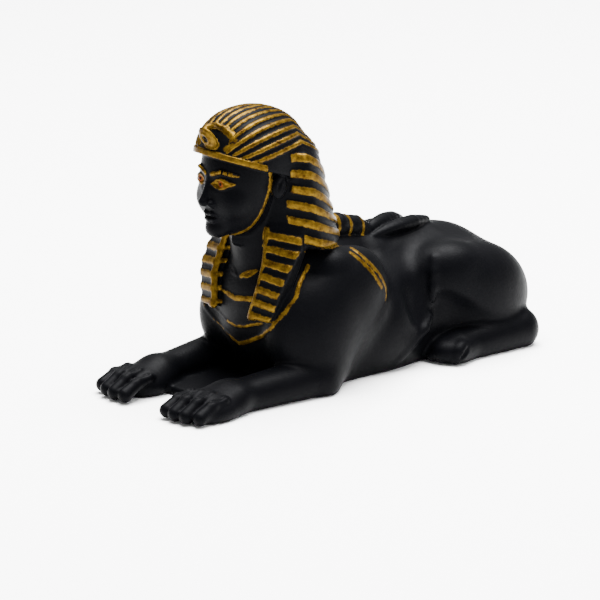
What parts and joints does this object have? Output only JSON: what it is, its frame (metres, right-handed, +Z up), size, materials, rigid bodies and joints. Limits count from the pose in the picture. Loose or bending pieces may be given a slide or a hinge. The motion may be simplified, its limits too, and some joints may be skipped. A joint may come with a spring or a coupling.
{
  "type": "sphinx statue",
  "caption": "Small cast figurine of a reclining sphinx with a striped royal headcloth, forelegs stretched forward, black with gold paint.",
  "frame": {"origin": "centre of the bounding box's bottom face, on the surface the figurine lies on", "axes": "the sphinx faces -Y, +Z up, its left side is +X"},
  "size_m": [0.048, 0.1066, 0.0652],
  "materials": {
    "resin": "satin"
  },
  "bodies": {
    "root": {"sphinx": "resin"}
  },
  "joints": []
}
